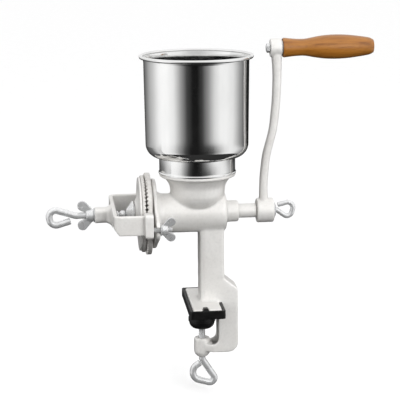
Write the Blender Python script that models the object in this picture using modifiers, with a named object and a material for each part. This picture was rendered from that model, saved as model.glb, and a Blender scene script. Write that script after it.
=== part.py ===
"""Hand grain mill with a table clamp, in metres, +Z up.

The origin is on the underside of the jaw's rubber boot, on the axis of the clamp screw. The
shaft lies along X: the crank is at its +X end and the burrs are at its -X end. The hopper
stands over the middle of the barrel.
"""

import math

import bmesh
import bpy
from mathutils import Matrix, Vector
from mathutils.geometry import convex_hull_2d

GAP = 0.0003
ROUND_STEPS = 32
SMALL_STEPS = 16

# Axes
SHAFT_Z = 0.1185
HOPPER_X = -0.004
STUD_Y = 0.066
STUD_Z = SHAFT_Z - 0.005

# Body casting
BARREL_RADIUS = 0.0238
BARREL_LEFT = -0.0595
BARREL_RIGHT = 0.030
BORE_RADIUS = 0.019
BORE_RIGHT = 0.024
END_ROUND = 0.005
BEARING_RADIUS = 0.013
BEARING_RIGHT = 0.045
FLANGE_RADIUS = 0.042
FLANGE_RIGHT = -0.0545
EAR_RADIUS = 0.012
EAR_SLOT_HALF = 0.0034
WAIST_Z = 0.147
WAIST_RADIUS = 0.033
BOWL_DEPTH = 0.027
LEDGE_Z = 0.1675
LEDGE_RADIUS = 0.046
TRUMPET_RADIUS = 0.0414
TRUMPET_TOP = 0.163
SPIGOT_RADIUS = 0.0439
SPIGOT_TOP = 0.183
POST_LEFT = -0.0034
POST_RIGHT = 0.0263
FRAME_HALF_DEPTH = 0.016
FRAME_RIGHT = 0.0428
FRAME_INNER = 0.0190
FRAME_BOTTOM = -0.054
ARM_TOP = -0.044
ARM_BLEND = 0.0115
CHANNEL_WALL = 0.005
CHANNEL_FLOOR = -0.011
POCKET_TOP = -0.0015
JAW_LEFT = -0.0156
JAW_RIGHT = 0.0192
JAW_HALF_WIDTH = 0.0514
JAW_BOTTOM = 0.0040
JAW_TOP = 0.0104
NOTCH_LEFT = -0.0034
NOTCH_RIGHT = 0.0028
NOTCH_DEPTH = 0.008
CLAMP_BOSS_RADIUS = 0.010
CLAMP_BOSS_TOP = -0.038
CLAMP_BOSS_BOTTOM = -0.062

# Shaft, auger and burrs
SHAFT_RADIUS = 0.0086
SHAFT_LEFT = -0.0837
SHAFT_RIGHT = 0.0669
STUB_RIGHT = 0.085
STUB_HALF_SIDE = 0.005
FLIGHT_RADIUS = 0.0183
FLIGHT_LEFT = -0.064
FLIGHT_RIGHT = 0.021
FLIGHT_PITCH = 0.024
FLIGHT_THICKNESS = 0.0032
FIXED_BURR_RADIUS = 0.049
FIXED_BURR_BACK = -0.0598
FIXED_BURR_FACE = -0.0676
FIXED_BURR_RIM_BACK = -0.0612
FIXED_BURR_SEAT_RADIUS = 0.040
ROTATING_BURR_RADIUS = 0.046
ROTATING_BURR_FACE = -0.0682
ROTATING_BURR_BACK = -0.0724
TOOTH_HEIGHT = 0.002
TOOTH_COUNT = 36
BURR_SCREW_RADIUS = 0.0024
BURR_SCREW_CIRCLE = 0.030
CARRIER_RIGHT = ROTATING_BURR_BACK - GAP
CARRIER_LEFT = -0.0795
CARRIER_RADIUS = 0.044
PIN_RADIUS = 0.002
PIN_X = -0.0773
PIN_HALF_LENGTH = 0.0155
CONE_RIGHT = CARRIER_LEFT - GAP
CONE_LEFT = -0.090
CONE_RADIUS = 0.016
BALL_RADIUS = 0.00476
BALL_X = -0.0942

# Yoke and adjusting screw
YOKE_LEFT = -0.108
YOKE_WEB = 0.005
YOKE_ARM_OUTER = 0.067
YOKE_ARM_INNER = 0.061
YOKE_HALF_HEIGHT = 0.0115
PAD_LEFT = -0.072
PAD_RIGHT = -0.0622
PAD_OUTER = 0.075
PAD_INNER = 0.057
PAD_HALF_HEIGHT = 0.0142
YOKE_BOSS_LEFT = -0.1274
YOKE_BOSS_HALF_SIDE = 0.0087
STUD_RADIUS = 0.003
STUD_LEFT = -0.069
STUD_RIGHT = -0.0405
ROD_RADIUS = 0.004

# Crank and grip
HUB_LEFT = 0.0672
HUB_RIGHT = 0.0876
HUB_RADIUS = 0.01475
CRANK_TOP_Z = 0.314
CRANK_BOSS_LEFT = 0.0836
CRANK_BOSS_RIGHT = 0.097
CRANK_BOSS_RADIUS = 0.011
CRANK_SCREW_RADIUS = 0.00295
GRIP_LEFT = 0.0986
GRIP_RIGHT = 0.2073
GRIP_PIN_RADIUS = 0.0039

# Hopper
CUP_RADIUS = 0.0624
CUP_BOTTOM_RADIUS = 0.0612
CUP_CORNER = 0.0155
CUP_BOTTOM = 0.187
CUP_FLARE = 0.298
CUP_HOLE_RADIUS = 0.040
RIM_Z = 0.3062
RIM_RADIUS = 0.0655
RIM_BEAD = 0.0022
SHEET = 0.001
COLLAR_RADIUS = 0.0453
COLLAR_BOTTOM = LEDGE_Z + GAP

# Clamp
CLAMP_PAD_TOP = -0.011
CLAMP_PAD_BOTTOM = -0.0258
CLAMP_PAD_RADIUS = 0.0165
CLAMP_DISC_RADIUS = 0.011
BOOT_WALL = 0.0038
TAB_RISE = 0.002


def clear_scene():
    for obj in list(bpy.data.objects):
        bpy.data.objects.remove(obj)


def new_collection(name):
    made = bpy.data.collections.new(name)
    bpy.context.scene.collection.children.link(made)
    return made


clear_scene()
PARTS = new_collection("grain_mill")
CUTTERS = new_collection("cutters")


def material(name, colour, roughness, metallic):
    made = bpy.data.materials.new(name)
    made.use_nodes = True
    shader = made.node_tree.nodes["Principled BSDF"]
    shader.inputs["Base Color"].default_value = (*colour, 1.0)
    shader.inputs["Roughness"].default_value = roughness
    shader.inputs["Metallic"].default_value = metallic
    return made


CASTING = material("tinned_casting", (0.62, 0.60, 0.57), 0.42, 0.85)
STAINLESS = material("polished_stainless", (0.80, 0.80, 0.80), 0.08, 1.0)
ZINC = material("zinc_plated_steel", (0.66, 0.66, 0.67), 0.28, 1.0)
WOOD = material("varnished_wood", (0.46, 0.22, 0.055), 0.38, 0.0)
RUBBER = material("black_rubber", (0.012, 0.012, 0.011), 0.55, 0.0)


# ---- Building blocks ----


def keep(name, mesh, look, collection=PARTS):
    """A new object of this mesh. A helper for a Boolean goes in the cutters' collection."""
    obj = bpy.data.objects.new(name, mesh)
    collection.objects.link(obj)
    if collection is CUTTERS:
        obj.hide_render = True
        obj.display_type = "WIRE"
    if look:
        mesh.materials.append(look)
    return obj


def from_bmesh(name, bm, look, collection=PARTS):
    mesh = bpy.data.meshes.new(name)
    bmesh.ops.recalc_face_normals(bm, faces=bm.faces)
    bm.to_mesh(mesh)
    bm.free()
    mesh.shade_smooth()
    mesh.set_sharp_from_angle(angle=math.radians(35))
    return keep(name, mesh, look, collection)


def along(axis, centre):
    """The matrix that lays local Z along a world axis, from this centre."""
    turn = Vector((0, 0, 1)).rotation_difference(Vector(axis)).to_matrix().to_4x4()
    return Matrix.Translation(centre) @ turn


def turned(name, outline, look, axis=(1, 0, 0), centre=(0, 0, SHAFT_Z), ring=False,
           steps=ROUND_STEPS, collection=PARTS):
    """A turned solid. The outline's (radius, place along the axis) run down its outer side.

    With ring set, the outline closes on itself round a hole, and otherwise it starts and ends
    on the axis.
    """
    mesh = bpy.data.meshes.new(name)
    points = [(radius, 0, place) for radius, place in outline]
    edges = [(i, i + 1) for i in range(len(points) - 1)]
    if ring:
        edges.append((len(points) - 1, 0))
    mesh.from_pydata(points, edges, [])
    obj = keep(name, mesh, look, collection)
    obj.matrix_world = along(axis, centre)
    screw = obj.modifiers.new("turn", "SCREW")
    screw.steps = screw.render_steps = steps
    screw.use_merge_vertices = True
    screw.merge_threshold = 0.00001
    return obj


def rod(name, radius, start, end, look, axis=(1, 0, 0), centre=(0, 0, SHAFT_Z), chamfer=0.0,
        steps=SMALL_STEPS, collection=PARTS):
    """A round bar between two places along an axis, with both end edges chamfered."""
    outline = [(0, end), (radius - chamfer, end), (radius, end - chamfer),
               (radius, start + chamfer), (radius - chamfer, start), (0, start)]
    if not chamfer:
        outline = [(0, end), (radius, end), (radius, start), (0, start)]
    return turned(name, outline, look, axis, centre, steps=steps, collection=collection)


def fillet(corners, radii, closed=True, most_turn=math.radians(20)):
    """2D points along a path with each corner rounded to its radius by an arc."""
    count = len(corners)
    corners = [Vector(corner) for corner in corners]
    made = []
    for i, (corner, radius) in enumerate(zip(corners, radii)):
        if not radius or (not closed and i in (0, count - 1)):
            made.append(corner)
            continue
        back = (corners[i - 1] - corner).normalized()
        ahead = (corners[(i + 1) % count] - corner).normalized()
        half = math.acos(max(-1.0, min(1.0, back.dot(ahead)))) / 2
        centre = corner + (back + ahead).normalized() * radius / math.sin(half)
        first = corner + back * radius / math.tan(half) - centre
        turn = math.pi - 2 * half
        if back.x * ahead.y - back.y * ahead.x > 0:
            turn = -turn
        steps = max(2, math.ceil(abs(turn) / most_turn))
        for step in range(steps + 1):
            a = turn * step / steps
            x = first.x * math.cos(a) - first.y * math.sin(a)
            y = first.x * math.sin(a) + first.y * math.cos(a)
            made.append(centre + Vector((x, y)))
    return made


PLANES = {
    "XY": lambda u, v, w: (u, v, w),
    "XZ": lambda u, v, w: (u, w, v),
    "YZ": lambda u, v, w: (w, u, v),
}


def loft(name, rings, look, collection=PARTS):
    """A solid through rings of equal numbers of 3D points, with both ends filled."""
    bm = bmesh.new()
    rows = [[bm.verts.new(point) for point in ring] for ring in rings]
    for row, next_row in zip(rows, rows[1:]):
        for i in range(len(row)):
            j = (i + 1) % len(row)
            bm.faces.new((row[i], row[j], next_row[j], next_row[i]))
    bm.faces.new(rows[0])
    bm.faces.new(rows[-1])
    return from_bmesh(name, bm, look, collection)


def prism(name, outline, plane, low, high, look=None, collection=PARTS):
    """A 2D outline in a plane, extruded between two places along the plane's normal."""
    rings = [[PLANES[plane](u, v, w) for u, v in outline] for w in (low, high)]
    return loft(name, rings, look, collection)


def box(name, low, high, look=None, collection=CUTTERS):
    corners = [(low[0], low[1]), (high[0], low[1]), (high[0], high[1]), (low[0], high[1])]
    return prism(name, corners, "XY", low[2], high[2], look, collection)


def rounded_rectangle(centre, half_u, half_v, radius):
    u, v = centre
    corners = [(u - half_u, v - half_v), (u + half_u, v - half_v),
               (u + half_u, v + half_v), (u - half_u, v + half_v)]
    return fillet(corners, [radius] * 4, most_turn=math.radians(30))


def boolean(target, tools, operation):
    for tool in tools:
        modifier = target.modifiers.new(tool.name, "BOOLEAN")
        modifier.operation = operation
        modifier.solver = "EXACT"
        modifier.object = tool


def bent_rod(name, path, radius, look, plane="XZ", offset=0.0):
    """A round wire along a 2D path in a plane, as a curve with filled ends."""
    data = bpy.data.curves.new(name, "CURVE")
    data.dimensions = "3D"
    data.bevel_depth = radius
    data.bevel_resolution = 2
    data.use_fill_caps = True
    spline = data.splines.new("POLY")
    spline.points.add(len(path) - 1)
    for point, (u, v) in zip(spline.points, path):
        point.co = (*PLANES[plane](u, v, offset), 1.0)
    data.materials.append(look)
    obj = bpy.data.objects.new(name, data)
    PARTS.objects.link(obj)
    return obj


# ---- Body casting ----


def barrel_outline():
    """Flange, flare, barrel with a rounded end, and bearing boss, from right to left."""
    arc = []
    for step in range(4):
        a = math.radians(90 * step / 3)
        arc.append((BARREL_RADIUS - END_ROUND * (1 - math.sin(a)),
                    BARREL_RIGHT - END_ROUND * (1 - math.cos(a))))
    return [
        (0, BEARING_RIGHT), (BEARING_RADIUS - 0.0012, BEARING_RIGHT),
        (BEARING_RADIUS, BEARING_RIGHT - 0.0012), (BEARING_RADIUS, BARREL_RIGHT),
        *arc,
        (BARREL_RADIUS, FLANGE_RIGHT + 0.006), (BARREL_RADIUS + 0.004, FLANGE_RIGHT),
        (FLANGE_RADIUS - 0.001, FLANGE_RIGHT), (FLANGE_RADIUS, FLANGE_RIGHT - 0.001),
        (FLANGE_RADIUS, BARREL_LEFT), (0, BARREL_LEFT),
    ]


def throat_outline():
    """Spigot, ledge, trumpet down to the waist, and the bowl that sinks into the barrel."""
    outline = [(0, SPIGOT_TOP), (SPIGOT_RADIUS - 0.001, SPIGOT_TOP),
               (SPIGOT_RADIUS, SPIGOT_TOP - 0.001), (SPIGOT_RADIUS, LEDGE_Z),
               (LEDGE_RADIUS, LEDGE_Z), (LEDGE_RADIUS, TRUMPET_TOP + 0.0008)]
    for step in range(6):
        rise = 1 - step / 5
        flare = (TRUMPET_RADIUS - WAIST_RADIUS) * rise**2.2
        outline.append((WAIST_RADIUS + flare, WAIST_Z + (TRUMPET_TOP - WAIST_Z) * rise))
    for step in range(1, 7):
        a = math.radians(90 * step / 7)
        outline.append((WAIST_RADIUS * math.cos(a), WAIST_Z - BOWL_DEPTH * math.sin(a)))
    return outline + [(0, WAIST_Z - BOWL_DEPTH)]


def clamp_frame_outline():
    corners = [(ARM_BLEND, 0.050), (POST_RIGHT, 0.050), (POST_RIGHT, 0.039),
               (FRAME_RIGHT, 0.0257), (FRAME_RIGHT, FRAME_BOTTOM), (ARM_BLEND, FRAME_BOTTOM),
               (ARM_BLEND, ARM_TOP), (FRAME_INNER, ARM_TOP), (FRAME_INNER, JAW_TOP),
               (ARM_BLEND, JAW_TOP)]
    return fillet(corners, [0, 0, 0.004, 0.003, 0.012, 0, 0, 0.007, 0, 0])


def flange_outline():
    """The flange seen along the shaft: tangents join its round middle to an ear at each side."""
    points = []
    for y, z, radius, steps in ((0, SHAFT_Z, FLANGE_RADIUS - 0.001, 48),
                                (-STUD_Y, STUD_Z, EAR_RADIUS, 28),
                                (STUD_Y, STUD_Z, EAR_RADIUS, 28)):
        for step in range(steps):
            a = 2 * math.pi * (step + 0.5) / steps
            points.append(Vector((y + radius * math.cos(a), z + radius * math.sin(a))))
    return [points[i] for i in convex_hull_2d(points)]


def casting_blocks():
    """The solids that are cast in one with the barrel."""
    post = fillet(
        [(POST_LEFT, -0.0158), (POST_RIGHT, -0.0158), (POST_RIGHT, 0.0158), (POST_LEFT, 0.0158)],
        [0.0065, 0.0015, 0.0015, 0.0065],
    )
    arm_end = ARM_BLEND + 0.0005
    lower_arm = [(0.0, -0.009), (arm_end, -0.0158), (arm_end, 0.0158), (0.0, 0.009)]
    plate = fillet(
        [(JAW_LEFT, -JAW_HALF_WIDTH), (NOTCH_LEFT, -JAW_HALF_WIDTH),
         (NOTCH_LEFT, NOTCH_DEPTH - JAW_HALF_WIDTH), (NOTCH_RIGHT, NOTCH_DEPTH - JAW_HALF_WIDTH),
         (NOTCH_RIGHT, -JAW_HALF_WIDTH), (JAW_RIGHT, -JAW_HALF_WIDTH),
         (JAW_RIGHT, JAW_HALF_WIDTH), (JAW_LEFT, JAW_HALF_WIDTH)],
        [0.002, 0, 0, 0, 0, 0.002, 0.002, 0.002],
    )
    boss = [(0, CLAMP_BOSS_TOP), (CLAMP_BOSS_RADIUS - 0.001, CLAMP_BOSS_TOP),
            (CLAMP_BOSS_RADIUS, CLAMP_BOSS_TOP - 0.001),
            (CLAMP_BOSS_RADIUS, CLAMP_BOSS_BOTTOM + 0.005),
            (CLAMP_BOSS_RADIUS - 0.0035, CLAMP_BOSS_BOTTOM), (0, CLAMP_BOSS_BOTTOM)]
    upright = (0, 0, 1)
    return [
        turned("throat_block", throat_outline(), None, upright, (HOPPER_X, 0, 0),
               collection=CUTTERS),
        prism("ear_block", flange_outline(), "YZ", BARREL_LEFT + 0.0001, FLANGE_RIGHT - 0.0001,
              collection=CUTTERS),
        prism("post_block", post, "XY", JAW_TOP - 0.00005, SHAFT_Z, collection=CUTTERS),
        prism("frame_block", clamp_frame_outline(), "XZ", -FRAME_HALF_DEPTH, FRAME_HALF_DEPTH,
              collection=CUTTERS),
        prism("lower_arm_block", lower_arm, "XY", FRAME_BOTTOM + 0.0001, ARM_TOP - 0.0001,
              collection=CUTTERS),
        prism("jaw_block", plate, "XY", JAW_BOTTOM, JAW_TOP + 0.0001, collection=CUTTERS),
        turned("clamp_boss_block", boss, None, upright, (0, 0, 0), steps=28, collection=CUTTERS),
    ]


def casting_cutters():
    """The bore, the feed hole, the screw holes, the ears' slots and the two channels.

    The post's channel is open at the back. The clamp frame's is open towards the screw.
    """
    feed = [(0, SPIGOT_TOP + 0.001), (0.0395, SPIGOT_TOP + 0.001), (0.0395, 0.1690),
            (0.0355, 0.1640), (0.0295, 0.1550), (0.0278, WAIST_Z), (0.0240, 0.1400),
            (0.0180, 0.1340), (0.0180, SHAFT_Z), (0, SHAFT_Z)]
    post_left, post_right = POST_LEFT + CHANNEL_WALL, POST_RIGHT - CHANNEL_WALL
    frame_right, frame_floor = FRAME_RIGHT - CHANNEL_WALL, FRAME_BOTTOM + CHANNEL_WALL
    channel = fillet(
        [(post_left, 0.0150), (frame_right, 0.0150), (frame_right, 0.0235), (post_right, 0.0370),
         (post_right, 0.090), (post_left, 0.090)],
        [0.003] * 6,
    )
    pocket = fillet(
        [(ARM_BLEND + 0.001, frame_floor), (frame_right, frame_floor), (frame_right, POCKET_TOP),
         (ARM_BLEND + 0.001, POCKET_TOP)],
        [0, 0.007, 0.003, 0],
    )
    cutters = [
        rod("bore_cutter", BORE_RADIUS, BARREL_LEFT - 0.001, BORE_RIGHT, None,
            steps=ROUND_STEPS, collection=CUTTERS),
        rod("bearing_cutter", SHAFT_RADIUS + GAP, 0, BEARING_RIGHT + 0.001, None,
            collection=CUTTERS),
        turned("feed_cutter", feed, None, (0, 0, 1), (HOPPER_X, 0, 0), collection=CUTTERS),
        rod("clamp_hole_cutter", ROD_RADIUS + GAP, CLAMP_BOSS_BOTTOM - 0.001,
            CLAMP_BOSS_TOP + 0.001, None, (0, 0, 1), (0, 0, 0), collection=CUTTERS),
        prism("channel_cutter", channel, "XZ", CHANNEL_FLOOR, FRAME_HALF_DEPTH + 0.001,
              collection=CUTTERS),
        prism("pocket_cutter", pocket, "XZ", CHANNEL_FLOOR, -CHANNEL_FLOOR, collection=CUTTERS),
    ]
    for side, sign in (("near", -1), ("far", 1)):
        inner, outer = STUD_Y - EAR_SLOT_HALF, STUD_Y + EAR_RADIUS + 0.004
        slot = rounded_rectangle((sign * (inner + outer) / 2, STUD_Z), (outer - inner) / 2,
                                 EAR_SLOT_HALF, EAR_SLOT_HALF - 0.0001)
        cutters.append(prism(f"ear_slot_{side}", slot, "YZ", BARREL_LEFT - 0.001,
                             FLANGE_RIGHT + 0.001, collection=CUTTERS))
    for number, z in enumerate((-BURR_SCREW_CIRCLE, BURR_SCREW_CIRCLE), 1):
        cutters.append(rod(f"burr_screw_hole_{number}", BURR_SCREW_RADIUS + GAP,
                           BARREL_LEFT - 0.001, FLANGE_RIGHT + 0.003, None,
                           centre=(0, 0, SHAFT_Z + z), steps=16, collection=CUTTERS))
    return cutters


def make_body():
    body = turned("mill_body", barrel_outline(), CASTING)
    boolean(body, casting_blocks(), "UNION")
    boolean(body, casting_cutters(), "DIFFERENCE")


# ---- Shaft, auger and burrs ----


def flight_rings():
    """Sections of the auger's left-handed flight, four points each, from left to right."""
    turns = (FLIGHT_RIGHT - FLIGHT_LEFT) / FLIGHT_PITCH
    steps = math.ceil(turns * 18)
    rings = []
    for step in range(steps + 1):
        a = -2 * math.pi * turns * step / steps
        x = FLIGHT_LEFT + (FLIGHT_RIGHT - FLIGHT_LEFT) * step / steps
        ring = []
        for radius, shift in ((0.006, -0.8), (FLIGHT_RADIUS, -0.35), (FLIGHT_RADIUS, 0.35),
                              (0.006, 0.8)):
            ring.append((x + shift * FLIGHT_THICKNESS, radius * math.cos(a),
                         SHAFT_Z + radius * math.sin(a)))
        rings.append(ring)
    return rings


def make_auger():
    """Shaft and flight in one, with a square stub for the crank and a tapped hole in its end."""
    outline = [(0, SHAFT_RIGHT), (SHAFT_RADIUS - 0.001, SHAFT_RIGHT),
               (SHAFT_RADIUS, SHAFT_RIGHT - 0.001), (SHAFT_RADIUS, SHAFT_LEFT + 0.001),
               (SHAFT_RADIUS - 0.001, SHAFT_LEFT), (0, SHAFT_LEFT)]
    auger = turned("auger", outline, CASTING, steps=20)
    square = rounded_rectangle((0, SHAFT_Z), STUB_HALF_SIDE, STUB_HALF_SIDE, 0.001)
    boolean(auger, [
        loft("flight_block", flight_rings(), None, CUTTERS),
        prism("stub_block", square, "YZ", SHAFT_RIGHT - 0.002, STUB_RIGHT, collection=CUTTERS),
    ], "UNION")
    boolean(auger, [
        rod("stub_hole_cutter", CRANK_SCREW_RADIUS + GAP, SHAFT_RIGHT - 0.008,
            STUB_RIGHT + 0.001, None, steps=16, collection=CUTTERS),
        rod("shaft_pin_cutter", PIN_RADIUS + GAP, -0.02, 0.02, None, (0, 1, 0),
            (PIN_X, 0, SHAFT_Z), steps=12, collection=CUTTERS),
    ], "DIFFERENCE")


def burr(name, hole, radius, back, face, first_angle, seat=None):
    """A grinding plate: a flat back, and radial V teeth whose tips lie in the face's plane.

    A seat is the radius and the place of a step in the back, outside which the plate is thinner.
    """
    inward = math.copysign(1, back - face)
    root = face + inward * TOOTH_HEIGHT
    bm = bmesh.new()
    rows = []
    for step in range(2 * TOOTH_COUNT):
        a = first_angle + math.pi * step / TOOTH_COUNT
        tip = step % 2 == 0
        profile = [(hole, back), (hole, root), (hole + 0.008, root),
                   (hole + 0.013, face if tip else root), (radius, face if tip else root),
                   (radius, back)]
        if seat:
            seat_radius, rim_back = seat
            profile[-1:] = [(radius, rim_back), (seat_radius, rim_back), (seat_radius, back)]
        rows.append([bm.verts.new((x, r * math.cos(a), SHAFT_Z + r * math.sin(a)))
                     for r, x in profile])
    for row, next_row in zip(rows, rows[1:] + rows[:1]):
        for i in range(len(row)):
            j = (i + 1) % len(row)
            corners = [row[i], row[j], next_row[j], next_row[i]]
            bm.faces.new(corners)
    bmesh.ops.triangulate(bm, faces=bm.faces)
    return from_bmesh(name, bm, CASTING)


def burr_screw(name, face, end, centre):
    """A countersunk screw along X, its head at the burr's face."""
    head = 0.0045
    towards = math.copysign(1, end - face)
    outline = [(0, 0), (head, 0), (BURR_SCREW_RADIUS, 0.0025), (BURR_SCREW_RADIUS, abs(end - face)),
               (0, abs(end - face))]
    return turned(name, outline[::-1], ZINC, (towards, 0, 0), (face, *centre), steps=16)


def burr_screw_cutter(name, face, through, centre):
    head = 0.0045 + GAP
    towards = math.copysign(1, through - face)
    outline = [(0, -0.003), (head, -0.003), (head, 0.0002), (BURR_SCREW_RADIUS + GAP, 0.0027),
               (BURR_SCREW_RADIUS + GAP, abs(through - face)), (0, abs(through - face))]
    return turned(name, outline[::-1], None, (towards, 0, 0), (face, *centre), steps=16,
                  collection=CUTTERS)


def make_burrs():
    """Both plates. The fixed one's screws are above and below, the turning one's at the sides."""
    fixed = burr("fixed_burr", BORE_RADIUS + 0.0005, FIXED_BURR_RADIUS, FIXED_BURR_BACK,
                 FIXED_BURR_FACE, 0.0, (FIXED_BURR_SEAT_RADIUS, FIXED_BURR_RIM_BACK))
    turning = burr("rotating_burr", SHAFT_RADIUS + GAP, ROTATING_BURR_RADIUS, ROTATING_BURR_BACK,
                   ROTATING_BURR_FACE, math.pi / TOOTH_COUNT / 2)
    fixed_root = FIXED_BURR_FACE + TOOTH_HEIGHT
    turning_root = ROTATING_BURR_FACE - TOOTH_HEIGHT
    for number, side in enumerate((-1, 1), 1):
        above = (0, SHAFT_Z + side * BURR_SCREW_CIRCLE)
        beside = (side * BURR_SCREW_CIRCLE, SHAFT_Z)
        boolean(fixed, [burr_screw_cutter(f"fixed_screw_cutter_{number}", fixed_root,
                                          FIXED_BURR_BACK + 0.001, above)], "DIFFERENCE")
        boolean(turning, [burr_screw_cutter(f"turning_screw_cutter_{number}", turning_root,
                                            ROTATING_BURR_BACK - 0.001, beside)], "DIFFERENCE")
        burr_screw(f"fixed_burr_screw_{number}", fixed_root, FLANGE_RIGHT, above)
        burr_screw(f"rotating_burr_screw_{number}", turning_root, CARRIER_RIGHT - 0.0025, beside)


def make_carrier():
    """The turning burr's drive plate, keyed to the shaft by a cross pin."""
    disc_left = CARRIER_RIGHT - 0.0025
    bore = SHAFT_RADIUS + GAP
    outline = [(bore, CARRIER_RIGHT), (CARRIER_RADIUS, CARRIER_RIGHT),
               (CARRIER_RADIUS, disc_left), (0.026, disc_left - 0.0002), (0.0215, -0.0768),
               (0.0170, CARRIER_LEFT + 0.0006), (0.0160, CARRIER_LEFT), (bore, CARRIER_LEFT)]
    carrier = turned("burr_carrier", outline, CASTING, ring=True)
    cutters = [rod("carrier_pin_cutter", PIN_RADIUS + GAP, -0.03, 0.03, None, (0, 1, 0),
                   (PIN_X, 0, SHAFT_Z), steps=12, collection=CUTTERS)]
    for number, side in enumerate((-1, 1), 1):
        cutters.append(rod(f"carrier_screw_cutter_{number}", BURR_SCREW_RADIUS + GAP,
                           disc_left - 0.002, CARRIER_RIGHT + 0.001, None,
                           centre=(0, side * BURR_SCREW_CIRCLE, SHAFT_Z), steps=16,
                           collection=CUTTERS))
    boolean(carrier, cutters, "DIFFERENCE")
    rod("drive_pin", PIN_RADIUS, -PIN_HALF_LENGTH, PIN_HALF_LENGTH, ZINC, (0, 1, 0),
        (PIN_X, 0, SHAFT_Z), chamfer=0.0004, steps=12)


def make_thrust_parts():
    """The cone on the shaft's end, cupped for the ball that the adjusting screw presses on."""
    cup = BALL_RADIUS + GAP
    cup_edge = math.sqrt(cup**2 - (CONE_LEFT - BALL_X) ** 2)
    bore = SHAFT_RADIUS + GAP
    bottom = SHAFT_LEFT - GAP
    outline = [(0, bottom), (bore, bottom), (bore, CONE_RIGHT), (0.0125, CONE_RIGHT),
               (0.0125, CONE_RIGHT - 0.0016),
               (CONE_RADIUS, CONE_RIGHT - 0.0018), (CONE_RADIUS, CONE_RIGHT - 0.0030),
               (0.0110, -0.0862), (0.0066, CONE_LEFT + 0.0006), (0.0058, CONE_LEFT),
               (cup_edge, CONE_LEFT)]
    for step in range(1, 4):
        a = math.asin(cup_edge / cup) * (1 - step / 4)
        outline.append((cup * math.sin(a), BALL_X + cup * math.cos(a)))
    outline.append((0, BALL_X + cup))
    turned("thrust_cone", outline, ZINC, steps=24)
    bm = bmesh.new()
    bmesh.ops.create_uvsphere(bm, u_segments=16, v_segments=10, radius=BALL_RADIUS)
    ball = from_bmesh("thrust_ball", bm, ZINC)
    ball.location = (BALL_X, 0, SHAFT_Z)


# ---- Yoke and adjusting screw ----


def yoke_outline():
    """The yoke in plan, a U open to the right."""
    web, end = YOKE_LEFT + YOKE_WEB, PAD_LEFT + 0.003
    near = [((YOKE_LEFT, -YOKE_ARM_OUTER), 0.008), ((end, -YOKE_ARM_OUTER), 0),
            ((end, -YOKE_ARM_INNER), 0), ((web, -YOKE_ARM_INNER), 0.004)]
    far = [((x, -y), radius) for (x, y), radius in reversed(near)]
    both = near + far
    return fillet([corner for corner, _ in both], [radius for _, radius in both],
                  most_turn=math.radians(30))


def make_yoke():
    yoke = prism("yoke", yoke_outline(), "XY", SHAFT_Z - YOKE_HALF_HEIGHT,
                 SHAFT_Z + YOKE_HALF_HEIGHT, CASTING)
    boss = rounded_rectangle((0, SHAFT_Z), YOKE_BOSS_HALF_SIDE, YOKE_BOSS_HALF_SIDE, 0.004)
    flare = [(x, rounded_rectangle((0, SHAFT_Z), half_y, half_z, 0.004))
             for x, half_y, half_z in ((-0.1145, 0.0082, 0.0082), (-0.1105, 0.0112, 0.0098),
                                       (YOKE_LEFT + 0.001, 0.018, 0.0110))]
    blocks = [
        prism("yoke_boss_block", boss, "YZ", YOKE_BOSS_LEFT, YOKE_LEFT + 0.002,
              collection=CUTTERS),
        loft("yoke_flare_block", [[(x, y, z) for y, z in ring] for x, ring in flare], None,
             CUTTERS),
    ]
    half = (PAD_OUTER - PAD_INNER) / 2
    for side, sign in (("near", -1), ("far", 1)):
        pad = rounded_rectangle((sign * (PAD_OUTER - half), SHAFT_Z), half, PAD_HALF_HEIGHT, 0.003)
        blocks.append(prism(f"yoke_pad_{side}", pad, "YZ", PAD_LEFT, PAD_RIGHT,
                            collection=CUTTERS))
    boolean(yoke, blocks, "UNION")
    lower = SHAFT_Z - YOKE_HALF_HEIGHT
    wedge = [(YOKE_LEFT - 0.001, SHAFT_Z - 0.0015), (YOKE_LEFT - 0.001, lower - 0.002),
             (YOKE_LEFT + 0.0078, lower - 0.002)]
    hole = rod("yoke_hole_cutter", ROD_RADIUS + GAP, YOKE_BOSS_LEFT - 0.001, YOKE_LEFT + 0.01,
               None, collection=CUTTERS)
    cutters = [hole]
    for side, sign in (("near", -1), ("far", 1)):
        ends = sorted((sign * 0.0200, sign * (PAD_OUTER + 0.005)))
        cutters.append(prism(f"yoke_wedge_{side}", wedge, "XZ", *ends, collection=CUTTERS))
        cutters.append(rod(f"yoke_stud_cutter_{side}", STUD_RADIUS + GAP, STUD_LEFT - GAP,
                           PAD_RIGHT + 0.001, None, centre=(0, sign * STUD_Y, STUD_Z), steps=16,
                           collection=CUTTERS))
    boolean(yoke, cutters, "DIFFERENCE")


def washer(name, bore, radius, start, end, look=ZINC, axis=(1, 0, 0), centre=(0, 0, SHAFT_Z)):
    outline = [(bore, end), (radius, end), (radius, start), (bore, start)]
    return turned(name, outline, look, axis, centre, ring=True, steps=16)


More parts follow.
